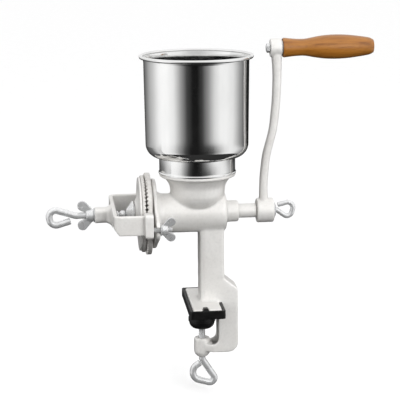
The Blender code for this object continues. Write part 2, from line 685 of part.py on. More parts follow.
def wing_nut(name, seat, towards, turn, centre, bore, size):
    """A wing nut on an X axis. Its wings sweep away from the seat, and size scales it."""
    hub = [(0.0, 0.0085), (0.0048, 0.0085), (0.0058, 0.0078), (0.0078, 0.0), (0.0, 0.0)]
    nut = turned(name, [(radius * size, place * size) for radius, place in hub], ZINC, steps=24)
    wings = []
    for sign in (-1, 1):
        root, tip = Vector((sign * 0.0045, 0.0030)) * size, Vector((sign * 0.0118, 0.0128)) * size
        run = (tip - root).normalized()
        side = Vector((-run.y, run.x))
        outline = [root - side * 0.0030 * size]
        for step in range(9):
            a = math.radians(-100 + 200 * step / 8)
            outline.append(tip + (run * math.cos(a) + side * math.sin(a)) * 0.0060 * size)
        outline.append(root + side * 0.0030 * size)
        wing = prism(f"{name}_wing_{'a' if sign < 0 else 'b'}", outline, "XZ", -0.0014 * size,
                     0.0014 * size, collection=CUTTERS)
        wings.append(wing)
    hole = rod(f"{name}_hole", bore, -0.002, 0.02, None, (0, 0, 1), (0, 0, 0), steps=16,
               collection=CUTTERS)
    boolean(nut, wings, "UNION")
    boolean(nut, [hole], "DIFFERENCE")
    place = along((towards, 0, 0), (seat, *centre)) @ Matrix.Rotation(turn, 4, "Z")
    nut.matrix_world = place
    for helper in (*wings, hole):
        helper.matrix_world = place
    return nut


def make_yoke_fasteners():
    """A stud through each ear's slot, with a washer and a wing nut behind the ear."""
    for side, sign, turn in (("near", -1, 15), ("far", 1, 125)):
        centre = (sign * STUD_Y, STUD_Z)
        rod(f"yoke_stud_{side}", STUD_RADIUS, STUD_LEFT, STUD_RIGHT, ZINC, centre=(0, *centre),
            chamfer=0.0006, steps=16)
        washer(f"yoke_washer_{side}", STUD_RADIUS + GAP, 0.0075, FLANGE_RIGHT + GAP,
               FLANGE_RIGHT + GAP + 0.0012, centre=(0, *centre))
        wing_nut(f"yoke_wing_nut_{side}", FLANGE_RIGHT + 2 * GAP + 0.0012, 1,
                 math.radians(turn), centre, STUD_RADIUS + GAP, 0.86)


def make_adjusting_screw():
    """A bent rod whose tip presses on the ball, with its lock nut against the yoke's boss."""
    tip = BALL_X - BALL_RADIUS - GAP
    path = fillet(
        [(tip, SHAFT_Z), (-0.150, SHAFT_Z), (-0.1838, SHAFT_Z + 0.0106),
         (-0.1795, SHAFT_Z - 0.0130), (-0.1566, SHAFT_Z - 0.0062)],
        [0, 0.020, 0.0078, 0.0080, 0], closed=False)
    bent_rod("adjusting_screw", path, ROD_RADIUS, ZINC)
    washer("adjusting_washer", ROD_RADIUS + GAP, 0.0085, YOKE_BOSS_LEFT - GAP - 0.0012,
           YOKE_BOSS_LEFT - GAP)
    wing_nut("adjusting_wing_nut", YOKE_BOSS_LEFT - 2 * GAP - 0.0012, -1, math.radians(0),
             (0, SHAFT_Z), ROD_RADIUS + GAP, 1.0)


# ---- Crank and grip ----


def arm_rings():
    """Sections up the swan-necked crank arm, from inside the hub to inside the top boss."""
    # (x of the centreline, height above the shaft, half thickness, half width)
    stations = [(0.0764, 0.006, 0.0052, 0.0085), (0.0757, 0.0245, 0.0047, 0.0078),
                (0.0766, 0.0450, 0.0046, 0.0075), (0.0790, 0.0660, 0.0046, 0.0074),
                (0.0829, 0.0820, 0.0046, 0.0074), (0.0869, 0.0975, 0.0046, 0.0074),
                (0.0892, 0.1150, 0.0047, 0.0074), (0.0909, 0.1335, 0.0047, 0.0075),
                (0.0919, 0.1600, 0.0048, 0.0078), (0.0917, 0.1770, 0.0052, 0.0084),
                (0.0909, 0.1930, 0.0060, 0.0092)]
    rings = []
    for x, rise, half_x, half_y in stations:
        ring = rounded_rectangle((x, 0), half_x, half_y, 0.0035)
        rings.append([(u, v, SHAFT_Z + rise) for u, v in ring])
    return rings


def make_crank():
    hub = [(0, HUB_RIGHT), (HUB_RADIUS - 0.0016, HUB_RIGHT), (HUB_RADIUS, HUB_RIGHT - 0.0016),
           (HUB_RADIUS, HUB_LEFT + 0.0012), (HUB_RADIUS - 0.0012, HUB_LEFT), (0, HUB_LEFT)]
    crank = turned("crank_arm", hub, CASTING, steps=32)
    top = (0, 0, CRANK_TOP_Z)
    boolean(crank, [
        loft("arm_block", arm_rings(), None, CUTTERS),
        rod("crank_boss_block", CRANK_BOSS_RADIUS, CRANK_BOSS_LEFT, CRANK_BOSS_RIGHT, None,
            centre=top, chamfer=0.0012, steps=28, collection=CUTTERS),
    ], "UNION")
    side = STUB_HALF_SIDE + GAP
    square = rounded_rectangle((0, SHAFT_Z), side, side, 0.001)
    boolean(crank, [
        prism("hub_square_cutter", square, "YZ", HUB_LEFT - 0.001, STUB_RIGHT + GAP,
              collection=CUTTERS),
        rod("hub_screw_cutter", CRANK_SCREW_RADIUS + GAP, STUB_RIGHT - 0.001, HUB_RIGHT + 0.001,
            None, steps=16, collection=CUTTERS),
        rod("grip_bolt_cutter", GRIP_PIN_RADIUS + GAP, CRANK_BOSS_LEFT - 0.01,
            CRANK_BOSS_RIGHT + 0.001, None, centre=top, steps=16, collection=CUTTERS),
    ], "DIFFERENCE")
    cone = [(CRANK_SCREW_RADIUS + GAP, HUB_RIGHT + 0.0028), (0.0062, HUB_RIGHT + 0.0028),
            (0.0100, HUB_RIGHT + 0.0012), (0.0100, HUB_RIGHT + GAP),
            (CRANK_SCREW_RADIUS + GAP, HUB_RIGHT + GAP)]
    turned("crank_washer", cone, ZINC, ring=True, steps=24)
    path = fillet(
        [(SHAFT_RIGHT - 0.006, SHAFT_Z), (0.0917, SHAFT_Z), (0.1085, SHAFT_Z - 0.0125),
         (0.1140, SHAFT_Z + 0.0112), (0.0932, SHAFT_Z + 0.0059)],
        [0, 0.004, 0.0062, 0.0066, 0], closed=False)
    bent_rod("crank_screw", path, CRANK_SCREW_RADIUS, ZINC)


def grip_outline():
    """The wooden grip, from its rounded outer end down to the neck and the flared inner end."""
    bore = GRIP_PIN_RADIUS + GAP
    mouth = 0.0062
    # (radius, distance from the inner end)
    swell = [(0.0086, 0.1074), (0.0098, 0.1050), (0.0108, 0.1000), (0.0124, 0.0900),
             (0.0138, 0.0780), (0.0144, 0.0640), (0.0138, 0.0500), (0.0121, 0.0380),
             (0.0104, 0.0290), (0.0099, 0.0230), (0.0102, 0.0150), (0.0111, 0.0060),
             (0.0116, 0.0015), (0.0110, 0.0)]
    outer = [(radius, GRIP_LEFT + place) for radius, place in swell]
    return [(bore, GRIP_RIGHT - 0.007), (mouth, GRIP_RIGHT - 0.007), (mouth, GRIP_RIGHT), *outer,
            (bore, GRIP_LEFT)]


def make_grip():
    centre = (0, 0, CRANK_TOP_Z)
    turned("grip", grip_outline(), WOOD, centre=centre, ring=True, steps=24)
    head_left = GRIP_RIGHT - 0.007 + GAP
    nut_right = CRANK_BOSS_LEFT - GAP
    shank_left = nut_right - 0.0044
    bolt = [(0, head_left + 0.0034), (0.0040, head_left + 0.0034), (0.0056, head_left + 0.0016),
            (0.0056, head_left), (GRIP_PIN_RADIUS, head_left), (GRIP_PIN_RADIUS, shank_left),
            (0, shank_left)]
    turned("grip_bolt", bolt, ZINC, centre=centre, steps=20)
    washer("grip_washer", GRIP_PIN_RADIUS + GAP, 0.0085, CRANK_BOSS_RIGHT + GAP,
           GRIP_LEFT - GAP, centre=centre)
    nut = rod("grip_nut", 0.0058, nut_right - 0.0038, nut_right, ZINC, centre=centre,
              chamfer=0.0007, steps=6)
    boolean(nut, [rod("grip_nut_hole", GRIP_PIN_RADIUS + GAP, nut_right - 0.006,
                      nut_right + 0.001, None, centre=centre, steps=16, collection=CUTTERS)],
            "DIFFERENCE")


# ---- Hopper ----


def cup_skin(inset):
    """The cup's outline at this depth inside its outer face, from the flare to the bottom."""
    points = []
    for step in range(4):
        rise = 1 - step / 3
        points.append((CUP_RADIUS + (RIM_RADIUS - RIM_BEAD - CUP_RADIUS) * rise**2 - inset,
                       CUP_FLARE + (RIM_Z - CUP_FLARE) * rise))
    radius = CUP_CORNER - inset
    for step in range(5):
        a = math.radians(90 * step / 4)
        points.append((CUP_BOTTOM_RADIUS - CUP_CORNER + radius * math.cos(a),
                       CUP_BOTTOM + CUP_CORNER - radius * math.sin(a)))
    points.append((CUP_HOLE_RADIUS, CUP_BOTTOM + inset))
    return points


def make_hopper():
    """The cup and the collar that slips over the throat. The collar is spot welded on."""
    upright, centre = (0, 0, 1), (HOPPER_X, 0, 0)
    bead = []
    for step in range(6):
        a = math.radians(220 - 290 * step / 5)
        bead.append((RIM_RADIUS + RIM_BEAD * math.cos(a), RIM_Z + RIM_BEAD * math.sin(a)))
    outline = bead + cup_skin(0.0)[1:] + cup_skin(SHEET)[:0:-1]
    turned("hopper_cup", outline, STAINLESS, upright, centre, ring=True, steps=40)
    top = CUP_BOTTOM - GAP
    inner = COLLAR_RADIUS - SHEET
    collar = [(inner, top), (COLLAR_RADIUS, top), (COLLAR_RADIUS, COLLAR_BOTTOM + 0.0022),
              (COLLAR_RADIUS + 0.0009, COLLAR_BOTTOM + 0.0010),
              (COLLAR_RADIUS + 0.0009, COLLAR_BOTTOM), (inner, COLLAR_BOTTOM)]
    turned("hopper_collar", collar, STAINLESS, upright, centre, ring=True, steps=40)


# ---- Clamp ----


def make_boot():
    """The rubber boot under the jaw. A tab fills the jaw's notch, and the frame passes it."""
    left, right = JAW_LEFT - BOOT_WALL, JAW_RIGHT + BOOT_WALL
    half = JAW_HALF_WIDTH + BOOT_WALL
    outline = fillet([(left, -half), (right, -half), (right, half), (left, half)], [0.003] * 4)
    boot = prism("jaw_pad", outline, "XY", 0, JAW_TOP - GAP, RUBBER)
    cavity = box("boot_cutter", (JAW_LEFT - GAP, -JAW_HALF_WIDTH - GAP, JAW_BOTTOM - GAP),
                 (JAW_RIGHT + GAP, JAW_HALF_WIDTH + GAP, JAW_TOP + 0.01))
    tab = box("boot_tab_block", (NOTCH_LEFT + GAP, -JAW_HALF_WIDTH - 0.001, JAW_BOTTOM - 0.001),
              (NOTCH_RIGHT - GAP, NOTCH_DEPTH - JAW_HALF_WIDTH - GAP, JAW_TOP + TAB_RISE))
    passage = box("boot_passage_cutter", (FRAME_INNER - GAP, -FRAME_HALF_DEPTH - GAP, -0.001),
                  (right + 0.001, FRAME_HALF_DEPTH + GAP, JAW_TOP + 0.01))
    boolean(boot, [cavity, passage], "DIFFERENCE")
    boolean(boot, [tab], "UNION")


def make_clamp():
    upright, centre = (0, 0, 1), (0, 0, 0)
    disc_top = CLAMP_PAD_TOP - 0.003
    socket_top = disc_top - 0.0012
    socket = ROD_RADIUS + GAP
    disc = [(0, disc_top), (CLAMP_DISC_RADIUS, disc_top), (CLAMP_DISC_RADIUS, disc_top - 0.0025),
            (0.0068, disc_top - 0.0027), (0.0068, disc_top - 0.009), (socket, disc_top - 0.009),
            (socket, socket_top), (0, socket_top)]
    turned("clamp_disc", disc, ZINC, upright, centre, steps=20)
    cap = [(0, CLAMP_PAD_TOP), (CLAMP_PAD_RADIUS - 0.0015, CLAMP_PAD_TOP),
           (CLAMP_PAD_RADIUS, CLAMP_PAD_TOP - 0.0015), (CLAMP_PAD_RADIUS, CLAMP_PAD_TOP - 0.006)]
    neck = 0.0084
    for step in range(1, 6):
        a = math.radians(90 * step / 5)
        cap.append((neck + (CLAMP_PAD_RADIUS - neck) * math.cos(a),
                    CLAMP_PAD_TOP - 0.006
                    + (CLAMP_PAD_BOTTOM - CLAMP_PAD_TOP + 0.006) * math.sin(a)))
    hollow = 0.0068 + GAP
    cap += [(hollow, CLAMP_PAD_BOTTOM), (hollow, disc_top - 0.0025 - GAP),
            (CLAMP_DISC_RADIUS + GAP, disc_top - 0.0025 - GAP),
            (CLAMP_DISC_RADIUS + GAP, disc_top + GAP), (0, disc_top + GAP)]
    turned("clamp_pad", cap, RUBBER, upright, centre, steps=24)
    path = fillet(
        [(0, socket_top - GAP), (0, -0.0665), (0.0221, -0.1006), (-0.0130, -0.0905),
         (-0.0105, -0.0765), (-0.0027, -0.0710)],
        [0, 0.006, 0.0056, 0.0100, 0.0085, 0], closed=False)
    bent_rod("clamp_screw", path, ROD_RADIUS, ZINC)


make_body()
make_auger()
make_burrs()
make_carrier()
make_thrust_parts()
make_yoke()
make_yoke_fasteners()
make_adjusting_screw()
make_crank()
make_grip()
make_hopper()
make_boot()
make_clamp()
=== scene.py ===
"""Looks of the hand grain mill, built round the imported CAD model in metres, +Z up.

The shaft lies along X with the crank at its +X end, the hopper stands over the barrel, and the
origin is under the jaw's rubber boot, on the clamp screw's axis.
"""

import math

import bmesh
import bpy
from mathutils import Matrix, Quaternion, Vector


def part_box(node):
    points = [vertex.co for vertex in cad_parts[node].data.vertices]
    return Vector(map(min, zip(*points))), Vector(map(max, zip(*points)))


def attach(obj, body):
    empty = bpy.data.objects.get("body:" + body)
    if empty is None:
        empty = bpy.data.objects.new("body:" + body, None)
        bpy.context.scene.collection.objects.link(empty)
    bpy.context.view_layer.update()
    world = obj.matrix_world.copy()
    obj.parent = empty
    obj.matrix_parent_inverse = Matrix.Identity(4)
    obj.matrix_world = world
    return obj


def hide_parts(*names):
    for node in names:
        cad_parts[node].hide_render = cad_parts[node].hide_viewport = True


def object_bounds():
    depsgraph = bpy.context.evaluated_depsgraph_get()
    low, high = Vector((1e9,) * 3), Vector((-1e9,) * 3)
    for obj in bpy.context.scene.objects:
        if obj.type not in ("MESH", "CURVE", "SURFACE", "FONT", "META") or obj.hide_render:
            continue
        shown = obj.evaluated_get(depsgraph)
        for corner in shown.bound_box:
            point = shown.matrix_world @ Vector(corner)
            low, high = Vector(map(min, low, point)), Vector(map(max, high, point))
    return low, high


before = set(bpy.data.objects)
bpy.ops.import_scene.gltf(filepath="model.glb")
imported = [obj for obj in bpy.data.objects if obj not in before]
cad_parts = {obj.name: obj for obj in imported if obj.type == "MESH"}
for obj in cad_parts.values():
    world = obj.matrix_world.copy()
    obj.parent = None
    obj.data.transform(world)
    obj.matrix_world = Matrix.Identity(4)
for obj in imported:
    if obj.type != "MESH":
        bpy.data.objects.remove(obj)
CAD_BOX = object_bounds()

X, Y, Z = 0, 1, 2
X_AXIS = (1, 0, 0)
Z_AXIS = (0, 0, 1)


def low(node, axis):
    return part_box(node)[0][axis]


def high(node, axis):
    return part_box(node)[1][axis]


def middle(node, axis):
    return (low(node, axis) + high(node, axis)) / 2


SHAFT_Z = middle("auger", Z)
STUD_Z = middle("yoke_stud_near", Z)
HOPPER_X = middle("hopper_cup", X)
GRIP_Z = middle("grip", Z)
SHAFT = (0, 0, SHAFT_Z)
ROUND = 96

# Radii and thread pitches of the screws, and radii of the holes that they pass through.
M8_RADIUS, M8_PITCH, M8_HOLE = 0.004, 0.00125, 0.0042
M6_RADIUS, M6_PITCH, M6_HOLE = 0.003, 0.001, 0.00325
CARRIER_BORE = 0.0089


# ---- Materials ----


def add(tree, kind, **values):
    """A new shader node, with values for its inputs. An underscore stands for a space."""
    node = tree.nodes.new("ShaderNode" + kind)
    for name, value in values.items():
        node.inputs[name.replace("_", " ")].default_value = value
    return node


def new_material(name, colour, metallic, roughness):
    material = bpy.data.materials.new(name)
    material.use_nodes = True
    shader = material.node_tree.nodes["Principled BSDF"]
    shader.inputs["Base Color"].default_value = (*colour, 1)
    shader.inputs["Metallic"].default_value = metallic
    shader.inputs["Roughness"].default_value = roughness
    return material, material.node_tree, shader


def place_on_object(tree, scale=(1, 1, 1)):
    """Object coordinates, stretched along each axis. A larger scale makes finer detail."""
    where = add(tree, "TexCoord")
    mapping = add(tree, "Mapping", Scale=scale)
    tree.links.new(where.outputs["Object"], mapping.inputs["Vector"])
    return mapping.outputs["Vector"]


def noise(tree, vector, scale, detail=3.0, rough=0.55):
    node = add(tree, "TexNoise", Scale=scale, Detail=detail, Roughness=rough)
    tree.links.new(vector, node.inputs["Vector"])
    return node.outputs["Fac"]


def ramp(tree, factor, stops):
    """A colour ramp. Each stop is a position and a grey or a colour."""
    node = tree.nodes.new("ShaderNodeValToRGB")
    elements = node.color_ramp.elements
    while len(elements) < len(stops):
        elements.new(0.5)
    for element, (position, colour) in zip(elements, stops):
        if not isinstance(colour, tuple):
            colour = (colour, colour, colour)
        element.position = position
        element.color = (*colour, 1)
    tree.links.new(factor, node.inputs["Fac"])
    return node.outputs["Color"]


def remap(tree, factor, low_value, high_value, start=0.3, end=0.7):
    node = add(tree, "MapRange", From_Min=start, From_Max=end, To_Min=low_value, To_Max=high_value)
    tree.links.new(factor, node.inputs["Value"])
    return node.outputs["Result"]


def multiply(tree, first, second, amount=1.0):
    node = tree.nodes.new("ShaderNodeMix")
    node.data_type = "RGBA"
    node.blend_type = "MULTIPLY"
    node.inputs["Factor"].default_value = amount
    tree.links.new(first, node.inputs["A"])
    tree.links.new(second, node.inputs["B"])
    return node.outputs["Result"]


def bump(tree, shader, layers):
    """Bump from layers of (height, strength, depth in metres), the coarsest first."""
    normal = None
    for height, strength, depth in layers:
        node = add(tree, "Bump", Strength=strength, Distance=depth)
        tree.links.new(height, node.inputs["Height"])
        if normal:
            tree.links.new(normal, node.inputs["Normal"])
        normal = node.outputs["Normal"]
    tree.links.new(normal, shader.inputs["Normal"])


def tinned_casting():
    """Hot-tinned cast iron: satin, with sand texture, sharp corners a little brighter from wear
    and painted highlight, and painted shade darkening the recesses.
    """
    material, tree, shader = new_material("tinned_casting", (0.77, 0.76, 0.74), 0.22, 0.42)
    where = place_on_object(tree)
    sand = noise(tree, where, 950, 5, 0.65)
    grain = noise(tree, where, 330, 4)
    lumps = noise(tree, where, 70, 3)
    clouds = noise(tree, where, 24, 2)
    tone = ramp(tree, clouds, [(0.3, (0.735, 0.72, 0.695)), (0.7, (0.80, 0.79, 0.77))])
    tone = multiply(tree, tone, ramp(tree, grain, [(0.30, 0.94), (0.55, 1.0)]))
    # Painted shade and highlight: pointiness darkens the recesses where shade falls and lifts
    # sharp corners a little, partly as wear.
    geometry = tree.nodes.new("ShaderNodeNewGeometry")
    wear_and_painted_shade = ramp(tree, geometry.outputs["Pointiness"], [(0.44, 0.55), (0.495, 0.97), (0.56, 1.02)])
    tone = multiply(tree, tone, wear_and_painted_shade)
    tree.links.new(tone, shader.inputs["Base Color"])
    tree.links.new(remap(tree, grain, 0.34, 0.50), shader.inputs["Roughness"])
    bump(tree, shader, [(lumps, 0.35, 0.0006), (grain, 0.20, 0.00022), (sand, 0.22, 0.00010)])
    return material


def machined_iron():
    """Turned and ground faces of the burr plates, with fine tool marks."""
    material, tree, shader = new_material("machined_iron", (0.68, 0.66, 0.635), 0.45, 0.34)
    where = place_on_object(tree)
    marks = noise(tree, place_on_object(tree, (60, 1, 1)), 60, 2)
    mottle = noise(tree, where, 160, 4)
    tone = ramp(tree, mottle, [(0.3, (0.60, 0.58, 0.555)), (0.7, (0.76, 0.745, 0.72))])
    tree.links.new(tone, shader.inputs["Base Color"])
    tree.links.new(remap(tree, mottle, 0.28, 0.42), shader.inputs["Roughness"])
    bump(tree, shader, [(mottle, 0.20, 0.0002), (marks, 0.25, 0.00006)])
    return material


def polished_stainless():
    """Mirror-polished spun sheet, with faint rings from the polishing wheel and soft smears."""
    material, tree, shader = new_material("polished_stainless", (0.83, 0.83, 0.825), 1.0, 0.07)
    rings = noise(tree, place_on_object(tree, (2, 2, 1)), 1400, 2)
    smears = noise(tree, place_on_object(tree, (1, 1, 0.4)), 45, 3)
    tree.links.new(ramp(tree, smears, [(0.3, (0.80, 0.80, 0.795)), (0.7, (0.86, 0.86, 0.855))]),
                   shader.inputs["Base Color"])
    tree.links.new(remap(tree, smears, 0.055, 0.11), shader.inputs["Roughness"])
    bump(tree, shader, [(rings, 0.02, 0.00001)])
    return material


def zinc_plate():
    """Bright zinc plate, with soft mottling."""
    material, tree, shader = new_material("zinc_plate", (0.78, 0.785, 0.79), 0.60, 0.29)
    where = place_on_object(tree)
    mottle = noise(tree, where, 220, 4)
    haze = noise(tree, where, 55, 2)
    tone = ramp(tree, mottle, [(0.3, (0.70, 0.705, 0.71)), (0.7, (0.84, 0.845, 0.85))])
    # Painted shade: pointiness darkens the recesses, such as thread grooves, where shade falls.
    geometry = tree.nodes.new("ShaderNodeNewGeometry")
    painted_recess_shade = ramp(tree, geometry.outputs["Pointiness"], [(0.42, 0.45), (0.50, 1.0)])
    tone = multiply(tree, tone, painted_recess_shade)
    tree.links.new(tone, shader.inputs["Base Color"])
    tree.links.new(remap(tree, haze, 0.20, 0.33), shader.inputs["Roughness"])
    bump(tree, shader, [(mottle, 0.18, 0.00012)])
    return material


def varnished_wood():
    """Turned hardwood under clear varnish: long bands, fine dark pores and a warm tan."""
    material, tree, shader = new_material("varnished_wood", (0.36, 0.14, 0.018), 0.0, 0.36)
    bands = noise(tree, place_on_object(tree, (0.06, 1, 1)), 210, 3)
    pores = noise(tree, place_on_object(tree, (0.035, 1, 1)), 1500, 2)
    patches = noise(tree, place_on_object(tree, (0.4, 1, 1)), 40, 2)
    tone = ramp(tree, bands, [(0.30, (0.220, 0.078, 0.010)), (0.46, (0.320, 0.122, 0.015)),
                              (0.60, (0.375, 0.150, 0.020)), (0.74, (0.285, 0.103, 0.012))])
    tone = multiply(tree, tone, ramp(tree, pores, [(0.32, 0.66), (0.44, 1.0)]), 0.8)
    tone = multiply(tree, tone, ramp(tree, patches, [(0.3, (0.88, 0.84, 0.80)), (0.7, 1.0)]))
    tree.links.new(tone, shader.inputs["Base Color"])
    tree.links.new(remap(tree, bands, 0.30, 0.44), shader.inputs["Roughness"])
    shader.inputs["Coat Weight"].default_value = 0.30
    shader.inputs["Coat Roughness"].default_value = 0.16
    bump(tree, shader, [(bands, 0.10, 0.0003), (pores, 0.22, 0.00008)])
    return material


def black_rubber():
    material, tree, shader = new_material("black_rubber", (0.005, 0.005, 0.0045), 0.0, 0.42)
    where = place_on_object(tree)
    skin = noise(tree, where, 700, 3)
    dust = noise(tree, where, 90, 3)
    tree.links.new(ramp(tree, dust, [(0.35, 0.003), (0.75, 0.008)]), shader.inputs["Base Color"])
    tree.links.new(remap(tree, dust, 0.36, 0.50), shader.inputs["Roughness"])
    shader.inputs["Specular IOR Level"].default_value = 0.28
    bump(tree, shader, [(dust, 0.15, 0.0002), (skin, 0.25, 0.00005)])
    return material


CASTING = tinned_casting()
MACHINED = machined_iron()
STAINLESS = polished_stainless()
ZINC = zinc_plate()
WOOD = varnished_wood()
RUBBER = black_rubber()


# ---- Mesh building ----


def new_object(name, mesh, look=None):
    obj = bpy.data.objects.new(name, mesh)
    bpy.context.scene.collection.objects.link(obj)
    if look:
        mesh.materials.clear()
        mesh.materials.append(look)
    return obj


def from_bmesh(name, bm, look=None, sharp=35):
    mesh = bpy.data.meshes.new(name)
    bmesh.ops.remove_doubles(bm, verts=bm.verts, dist=0.000001)
    bmesh.ops.recalc_face_normals(bm, faces=bm.faces)
    bm.to_mesh(mesh)
    bm.free()
    mesh.shade_smooth()
    mesh.set_sharp_from_angle(angle=math.radians(sharp))
    return new_object(name, mesh, look)


def show(obj, body, *nodes):
    """Puts a finished piece in the place of CAD nodes, on the body they ride on."""
    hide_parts(*nodes)
    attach(obj, body)
    return obj


def fillet(corners, radii, closed=True, most_turn=math.radians(9)):
    """2D points along a path with each corner rounded to its radius by an arc."""
    count = len(corners)
    corners = [Vector(corner) for corner in corners]
    made = []
    for i, (corner, radius) in enumerate(zip(corners, radii)):
        if not radius or (not closed and i in (0, count - 1)):
            made.append(corner)
            continue
        back = (corners[i - 1] - corner).normalized()
        ahead = (corners[(i + 1) % count] - corner).normalized()
        half = math.acos(max(-1.0, min(1.0, back.dot(ahead)))) / 2
        centre = corner + (back + ahead).normalized() * radius / math.sin(half)
        first = corner + back * radius / math.tan(half) - centre
        turn = math.pi - 2 * half
        if back.x * ahead.y - back.y * ahead.x > 0:
            turn = -turn
        steps = max(2, math.ceil(abs(turn) / most_turn))
        for step in range(steps + 1):
            a = turn * step / steps
            x = first.x * math.cos(a) - first.y * math.sin(a)
            y = first.x * math.sin(a) + first.y * math.cos(a)
            made.append(centre + Vector((x, y)))
    return made


def softened(outline, radius, closed=True):
    """An outline with every corner off the turning axis rounded to the same radius."""
    radii = [radius if corner[0] > 0 else 0 for corner in outline]
    return fillet(outline, radii, closed, math.radians(18))


def smooth_through(points, spacing):
    """Points along a Catmull-Rom curve through these points, whatever their dimension."""
    points = [Vector(point) for point in points]
    padded = [points[0] * 2 - points[1], *points, points[-1] * 2 - points[-2]]
    made = []
    for before, start, end, after in zip(padded, padded[1:], padded[2:], padded[3:]):
        steps = max(1, round((end - start).length / spacing))
        for step in range(steps):
            t = step / steps
            made.append((start * 2 + (end - before) * t
                         + (before * 2 - start * 5 + end * 4 - after) * t**2
                         + (start * 3 - before - end * 3 + after) * t**3) / 2)
    return [*made, points[-1]]


def along(axis, centre):
    """The matrix that lays local Z along a world axis, from this centre."""
    turn = Vector(Z_AXIS).rotation_difference(Vector(axis)).to_matrix().to_4x4()
    return Matrix.Translation(centre) @ turn


def lathe(name, outline, look=None, axis=X_AXIS, centre=SHAFT, ring=False, segments=ROUND):
    """A turned piece. The outline's (radius, place along the axis) start and end on the axis,
    or close on themselves round a hole with ring set."""
    place = along(axis, centre)
    bm = bmesh.new()
    columns = []
    for step in range(segments):
        a = 2 * math.pi * step / segments
        columns.append([bm.verts.new(place @ Vector((r * math.cos(a), r * math.sin(a), z)))
                        for r, z in outline])
    count = len(outline)
    for column, next_column in zip(columns, columns[1:] + columns[:1]):
        for i in range(count if ring else count - 1):
            j = (i + 1) % count
            bm.faces.new((column[i], column[j], next_column[j], next_column[i]))
    return from_bmesh(name, bm, look)


def loft(name, rings, look=None):
    """A solid through rings of equal numbers of 3D points, with both ends filled."""
    bm = bmesh.new()
    rows = [[bm.verts.new(point) for point in ring] for ring in rings]
    for row, next_row in zip(rows, rows[1:]):
        for i in range(len(row)):
            j = (i + 1) % len(row)
            bm.faces.new((row[i], row[j], next_row[j], next_row[i]))
    bm.faces.new(rows[0])
    bm.faces.new(rows[-1])
    return from_bmesh(name, bm, look)


def rounded_rectangle(centre, half_u, half_v, radius):
    u, v = centre
    corners = [(u - half_u, v - half_v), (u + half_u, v - half_v),
               (u + half_u, v + half_v), (u - half_u, v + half_v)]
    return fillet(corners, [radius] * 4, most_turn=math.radians(15))


def bake(obj, sharp=35):
    """Applies an object's modifiers, so that its mesh is the finished one."""
    graph = bpy.context.evaluated_depsgraph_get()
    mesh = bpy.data.meshes.new_from_object(obj.evaluated_get(graph))
    obj.modifiers.clear()
    obj.data = mesh
    mesh.transform(obj.matrix_world)
    obj.matrix_world = Matrix.Identity(4)
    mesh.shade_smooth()
    mesh.set_sharp_from_angle(angle=math.radians(sharp))
    return obj


def discard(objects):
    for obj in objects:
        bpy.data.objects.remove(obj)


def joined(name, objects):
    """One object that holds the meshes of several, which are removed."""
    bm = bmesh.new()
    for obj in objects:
        mesh = obj.data.copy()
        mesh.transform(obj.matrix_world)
        bm.from_mesh(mesh)
        bpy.data.meshes.remove(mesh)
    mesh = bpy.data.meshes.new(name)
    bm.to_mesh(mesh)
    bm.free()
    discard(objects)
    return new_object(name, mesh)


def melt(obj, look, voxel, rounding, lumps=0.0, holes=()):
    """Makes one skin of an object's solids by voxels, rounds it, and drills holes in it."""
    remesh = obj.modifiers.new("skin", "REMESH")
    remesh.mode = "VOXEL"
    remesh.voxel_size = voxel
    relax = obj.modifiers.new("round", "SMOOTH")
    relax.factor = 0.5
    relax.iterations = rounding
    if lumps:
        texture = bpy.data.textures.new(obj.name, "CLOUDS")
        texture.noise_scale = 0.016
        swell = obj.modifiers.new("lumps", "DISPLACE")
        swell.texture = texture
        swell.texture_coords = "GLOBAL"
        swell.strength = lumps
        swell.mid_level = 0.5
    for hole in holes:
        drill = obj.modifiers.new("drill", "BOOLEAN")
        drill.solver = "FAST"
        drill.object = hole
    bake(obj)
    discard(holes)
    obj.data.materials.clear()
    obj.data.materials.append(look)
    return obj


def recast(node, look, voxel, rounding, lumps=0.0):
    """A cast or moulded piece from its CAD solid, with rounded corners and an uneven skin."""
    copy = new_object(node + "_cast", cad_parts[node].data.copy())
    return melt(copy, look, voxel, rounding, lumps)


